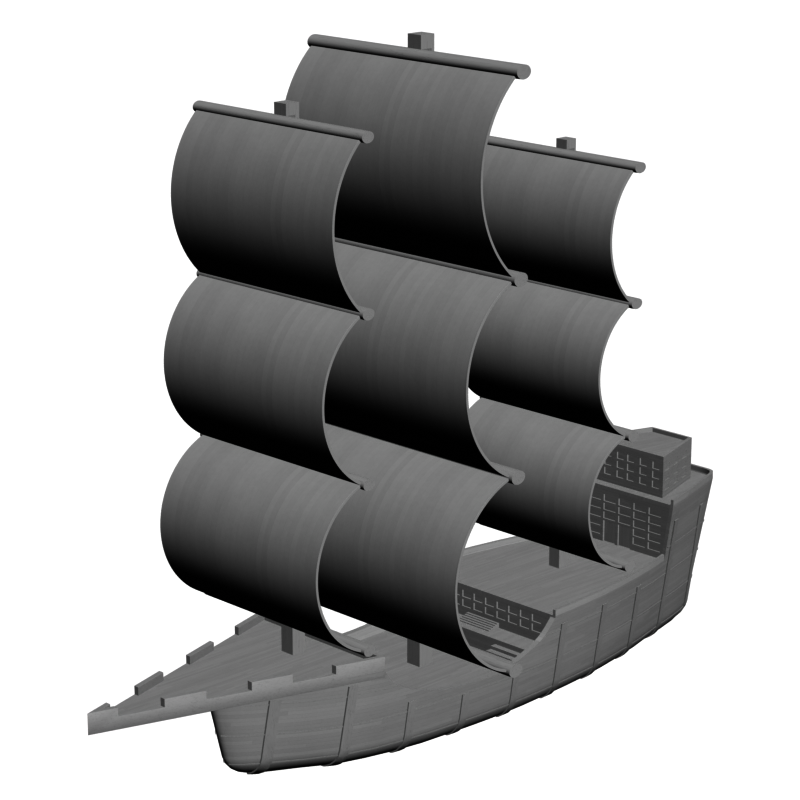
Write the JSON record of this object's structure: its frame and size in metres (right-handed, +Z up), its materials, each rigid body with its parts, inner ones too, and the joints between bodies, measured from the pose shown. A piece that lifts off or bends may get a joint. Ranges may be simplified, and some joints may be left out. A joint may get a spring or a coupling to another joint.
{
  "type": "tall ship, 1:2 scale model",
  "caption": "Three-masted square-rigged tall ship with bellied sails, a notched triangular beak platform, an open waist, a raised quarterdeck, a stern castle with doors, and a deckhouse.",
  "frame": {"origin": "on the flat of the bottom, in the centre plane, below the main mast's front face", "axes": "+X to the bow, +Y to port, +Z up"},
  "size_m": [34.3268, 11.5, 28.051],
  "materials": {
    "hull_timber": "matte",
    "deck_timber": "matte",
    "cabin_timber": "matte",
    "spar_timber": "satin",
    "sail_canvas": "matte"
  },
  "bodies": {
    "ship": {"hull": "hull_timber", "hull_frames_port": "hull_timber", "hull_frames_starboard": "hull_timber", "beak_platform": "deck_timber", "main_deck": "deck_timber", "waist_platform": "deck_timber", "centre_steps": "deck_timber", "side_steps_port": "deck_timber", "side_steps_starboard": "deck_timber", "quarterdeck": "deck_timber", "poop_deck": "deck_timber", "forecastle_bulkhead": "cabin_timber", "quarterdeck_bulkhead": "cabin_timber", "castle_bulkhead": "cabin_timber", "deckhouse": "cabin_timber", "deckhouse_roof": "cabin_timber", "fore_mast": "spar_timber", "main_mast": "spar_timber", "mizzen_mast": "spar_timber"},
    "fore_rig": {"fore_royal_yard": "spar_timber", "fore_topsail_yard": "spar_timber", "fore_lower_topsail_yard": "spar_timber", "fore_course_yard": "spar_timber", "fore_upper_sail": "sail_canvas", "fore_middle_sail": "sail_canvas", "fore_lower_sail": "sail_canvas"},
    "main_rig": {"main_royal_yard": "spar_timber", "main_topsail_yard": "spar_timber", "main_lower_topsail_yard": "spar_timber", "main_course_yard": "spar_timber", "main_upper_sail": "sail_canvas", "main_middle_sail": "sail_canvas", "main_lower_sail": "sail_canvas"},
    "mizzen_rig": {"mizzen_royal_yard": "spar_timber", "mizzen_topsail_yard": "spar_timber", "mizzen_lower_topsail_yard": "spar_timber", "mizzen_course_yard": "spar_timber", "mizzen_upper_sail": "sail_canvas", "mizzen_middle_sail": "sail_canvas", "mizzen_lower_sail": "sail_canvas"},
    "rudder": {"rudder": "hull_timber"},
    "door_port": {"castle_door_port": "cabin_timber"},
    "door_starboard": {"castle_door_starboard": "cabin_timber"}
  },
  "joints": [
    {"name": "fore_brace", "type": "hinge", "parent": "ship", "child": "fore_rig", "pos_m": [7.158, 0, 12.491], "axis": [0, 0, 1], "range_deg": [-20, 20]},
    {"name": "main_brace", "type": "hinge", "parent": "ship", "child": "main_rig", "pos_m": [0.194, 0, 11.461], "axis": [0, 0, 1], "range_deg": [-20, 20]},
    {"name": "mizzen_brace", "type": "hinge", "parent": "ship", "child": "mizzen_rig", "pos_m": [-8.341, 0, 11.019], "axis": [0, 0, 1], "range_deg": [-20, 20]},
    {"name": "rudder_turn", "type": "hinge", "parent": "ship", "child": "rudder", "pos_m": [-16.53263, 0, 2.03729], "axis": [-0.1503, 0, 0.9886], "range_deg": [-35, 35]},
    {"name": "castle_door_port_swing", "type": "hinge", "parent": "ship", "child": "door_port", "pos_m": [-12.5, 0.751, 4.66], "axis": [0, 0, 1], "range_deg": [0, 90]},
    {"name": "castle_door_starboard_swing", "type": "hinge", "parent": "ship", "child": "door_starboard", "pos_m": [-12.5, -0.751, 4.66], "axis": [0, 0, -1], "range_deg": [0, 90]}
  ]
}
